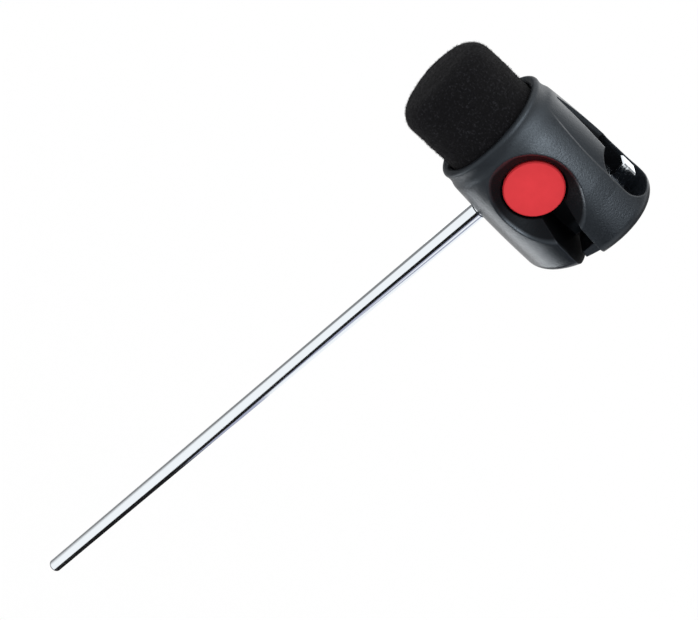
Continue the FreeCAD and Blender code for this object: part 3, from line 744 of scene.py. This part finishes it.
def grow_pile(form, tree, values, name):
    """Run the tree on a form and keep the result as a plain mesh object."""
    source = bpy.data.objects.new(name + "_source", form)
    bpy.context.collection.objects.link(source)
    modifier = source.modifiers.new("pile", "NODES")
    modifier.node_group = tree
    identifiers = socket_names(tree)
    for key, value in values.items():
        modifier[identifiers[key]] = value
    evaluated = source.evaluated_get(bpy.context.evaluated_depsgraph_get())
    mesh = bpy.data.meshes.new_from_object(evaluated)
    mesh.name = name
    bpy.data.objects.remove(source)
    piece = bpy.data.objects.new(name, mesh)
    bpy.context.collection.objects.link(piece)
    return piece


# Stage


def stage_mesh(name, points, faces, material):
    """A mesh object of the stage, linked to the scene."""
    mesh = bpy.data.meshes.new(name)
    mesh.from_pydata(points, [], faces)
    mesh.materials.append(material)
    item = bpy.data.objects.new(name, mesh)
    bpy.context.collection.objects.link(item)
    return item


def sky_card(stage, name, rows, colour, strength):
    """A far card that only reflections see.

    Each row gives an elevation and the azimuths where the card starts and ends there, in degrees,
    as seen from the head; +X is azimuth 0 and +Y is azimuth 90.
    """
    middle = Vector((0.0, 0.0, HEAD_HEIGHT))
    across_steps = 8
    points = []
    for elevation, start, end in rows:
        level = math.radians(elevation)
        for step in range(across_steps + 1):
            turn = math.radians(start + (end - start) * step / across_steps)
            way = Vector((
                math.cos(level) * math.cos(turn), math.cos(level) * math.sin(turn), math.sin(level)))
            points.append(middle + way * stage.sky_distance)
    faces = []
    for row in range(len(rows) - 1):
        for step in range(across_steps):
            first = row * (across_steps + 1) + step
            above = first + across_steps + 1
            faces.append((first, first + 1, above + 1, above))
    material, tree, glow = new_material(name, "ShaderNodeEmission")
    fill(tree, glow, {"Color": (*colour, 1.0), "Strength": strength})
    item = stage_mesh(name, points, faces, material)
    item.visible_camera = False
    item.visible_diffuse = False
    item.visible_shadow = False
    item.visible_transmission = False


def reflected_room(stage):
    """Soft boxes, lit table, dark room, fading grey wall and black strip, as reflections show them."""
    neutral_cards = (
        ("high_box", HIGH_BOX, stage.box_shine),
        ("top_box", TOP_BOX, stage.top_shine),
        ("front_box", FRONT_BOX, stage.front_shine),
        ("back_box", BACK_BOX, stage.rim_shine),
        ("low_back", LOW_BACK, stage.rim_shine),
        ("table_glow", TABLE_GLOW, stage.glow_shine),
        ("table_front", TABLE_FRONT, stage.table_shine),
        ("dark_front", DARK_FRONT, stage.front_shade),
        ("dark_table", DARK_TABLE, stage.front_shade),
        ("dim_side", DIM_SIDE, stage.side_shade),
        ("dim_top", DIM_TOP, stage.side_shade),
        ("dim_back", DIM_BACK, stage.dim_shade),
        ("grey_wall", GREY_WALL, stage.back_shade),
        ("wall_fade", WALL_FADE, stage.fade_shade),
        ("wall_end", WALL_END, stage.end_shade),
        ("dark_corner", DARK_CORNER, stage.strip_shade),
        ("black_strip", BLACK_STRIP, stage.strip_shade),
    )
    for name, rows, strength in neutral_cards:
        sky_card(stage, name, rows, WHITE, strength)
    for name, rows in (("cool_strip", COOL_STRIP), ("cool_line", COOL_LINE)):
        sky_card(stage, name, rows, stage.cool_shade, strength=1.0)


def white_room(stage):
    """White surroundings for the camera, a white room for reflections, even light for matt surfaces."""
    backdrop_light = 1.0
    world = bpy.data.worlds.new("white_room")
    bpy.context.scene.world = world
    world.use_nodes = True
    tree = world.node_tree
    tree.nodes.clear()
    lights = []
    for strength in (stage.room_light, stage.room_shine, backdrop_light):
        lights.append(add_node(tree, "ShaderNodeBackground", {
            "Color": (*WHITE, 1.0), "Strength": strength}))
    on_matt, reflected, behind = lights
    path = add_node(tree, "ShaderNodeLightPath")
    lit = add_node(tree, "ShaderNodeMixShader", {
        0: path.outputs["Is Glossy Ray"], 1: on_matt.outputs[0], 2: reflected.outputs[0]})
    seen = add_node(tree, "ShaderNodeMixShader", {
        0: path.outputs["Is Camera Ray"], 1: lit.outputs[0], 2: behind.outputs[0]})
    add_node(tree, "ShaderNodeOutputWorld", {"Surface": seen.outputs[0]})


def pale_floor(stage):
    """A white floor well under the shaft's free end, that stops on the photographer's side."""
    far = 30.0
    near = 2.6
    level = -stage.floor_drop
    corners = ((-far, -near, level), (far, -near, level), (far, far, level), (-far, far, level))
    material, tree, shader = new_material("floor_white")
    fill(tree, shader, {"Base Color": (*WHITE, 1.0), "Roughness": 1.0, "Specular IOR Level": 0.0})
    item = stage_mesh("floor", corners, ((0, 1, 2, 3),), material)
    item.visible_glossy = False


def photo_camera(stage):
    """Camera at the photograph's viewing angle, rolled so that the shaft runs up to the right."""
    lens = bpy.data.cameras.new("photo_camera")
    lens.sensor_fit = "HORIZONTAL"
    lens.sensor_width = 36.0
    lens.lens = stage.camera_lens
    lens.clip_start = 0.01
    lens.clip_end = 100.0
    item = bpy.data.objects.new("photo_camera", lens)
    bpy.context.collection.objects.link(item)
    place = Vector(stage.camera_place)
    look = (Vector(stage.camera_aim) - place).to_track_quat("-Z", "Y").to_matrix().to_4x4()
    item.matrix_world = Matrix.Translation(place) @ look @ Matrix.Rotation(stage.camera_roll, 4, "Z")
    bpy.context.scene.camera = item


# Operators


class BEATER_OT_plate_shaft(bpy.types.Operator):
    """Give the shaft its bright plating."""

    bl_idname = "beater.plate_shaft"
    bl_label = "Plate Shaft"

    def execute(self, context):
        dress_node("shaft", plated_shaft(context.scene.beater_finish))
        return {"FINISHED"}


class BEATER_OT_mould_head(bpy.types.Operator):
    """Give the moulded head its satin grained plastic."""

    bl_idname = "beater.mould_head"
    bl_label = "Mould Head"

    def execute(self, context):
        dress_node("head_body", moulded_plastic(context.scene.beater_finish))
        return {"FINISHED"}


class BEATER_OT_press_felt(bpy.types.Operator):
    """Make the felt striker with its loose pile in place of the plain felt solid."""

    bl_idname = "beater.press_felt"
    bl_label = "Press Felt"

    def execute(self, context):
        felt = context.scene.beater_felt
        density = felt.pile_density * 1.0
        values = {
            "Density": density,
            "Length": felt.pile_length,
            "Width": felt.pile_width,
            "Lip": LIP_FRONT,
            "Seed": felt.pile_seed,
            "Felt": felt_cloth(felt),
        }
        piece = grow_pile(felt_form(felt), pile_tree(), values, "felt_pile")
        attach(piece, "head")
        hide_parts("felt_striker")
        return {"FINISHED"}


class BEATER_OT_colour_weight(bpy.types.Operator):
    """Give the weight its red capsule and cap and its steel slug."""

    bl_idname = "beater.colour_weight"
    bl_label = "Colour Weight"

    def execute(self, context):
        finish = context.scene.beater_finish
        red = red_plastic(finish)
        dress_node("weight_capsule", red)
        dress_node("weight_cap", red)
        dress_node("weight_slug", plain_steel("slug_steel", finish.steel_colour))
        return {"FINISHED"}


class BEATER_OT_finish_clamp(bpy.types.Operator):
    """Give the clamp screw, its washer and its nut their metal finishes."""

    bl_idname = "beater.finish_clamp"
    bl_label = "Finish Clamp"

    def execute(self, context):
        finish = context.scene.beater_finish
        steel = plain_steel("clamp_steel", finish.steel_colour)
        dress_node("clamp_screw", threaded_plating(finish))
        dress_node("clamp_washer", steel)
        dress_node("clamp_nut", steel)
        return {"FINISHED"}


class BEATER_OT_set_stage(bpy.types.Operator):
    """Set the white room, the floor, the soft boxes, the dark cards and the camera."""

    bl_idname = "beater.set_stage"
    bl_label = "Set Stage"

    def execute(self, context):
        stage = context.scene.beater_stage
        context.scene.view_settings.view_transform = "Standard"
        white_room(stage)
        pale_floor(stage)
        reflected_room(stage)
        photo_camera(stage)
        return {"FINISHED"}


class BEATER_PT_panel(bpy.types.Panel):
    """Lists the beater's operators and sizes."""

    bl_label = "Beater"
    bl_idname = "BEATER_PT_panel"
    bl_space_type = "VIEW_3D"
    bl_region_type = "UI"
    bl_category = "Beater"

    def draw(self, context):
        for operator in OPERATORS:
            self.layout.operator(operator.bl_idname)
        for name, group in GROUPS.items():
            box = self.layout.box()
            for setting in group.__annotations__:
                box.prop(getattr(context.scene, name), setting)


OPERATORS = (
    BEATER_OT_plate_shaft,
    BEATER_OT_mould_head,
    BEATER_OT_press_felt,
    BEATER_OT_colour_weight,
    BEATER_OT_finish_clamp,
    BEATER_OT_set_stage,
)
GROUPS = {
    "beater_felt": BeaterFelt,
    "beater_finish": BeaterFinish,
    "beater_stage": BeaterStage,
}


def register():
    """Register the settings, the operators and the panel."""
    for name, group in GROUPS.items():
        bpy.utils.register_class(group)
        setattr(bpy.types.Scene, name, bpy.props.PointerProperty(type=group))
    for operator in OPERATORS:
        bpy.utils.register_class(operator)
    bpy.utils.register_class(BEATER_PT_panel)


def unregister():
    """Take away all that register adds."""
    bpy.utils.unregister_class(BEATER_PT_panel)
    for operator in reversed(OPERATORS):
        bpy.utils.unregister_class(operator)
    for name, group in GROUPS.items():
        delattr(bpy.types.Scene, name)
        bpy.utils.unregister_class(group)


def main():
    """Build every piece and the stage."""
    register()
    bpy.ops.beater.plate_shaft()
    bpy.ops.beater.mould_head()
    bpy.ops.beater.press_felt()
    bpy.ops.beater.colour_weight()
    bpy.ops.beater.finish_clamp()
    bpy.ops.beater.set_stage()


if __name__ == "__main__":
    main()
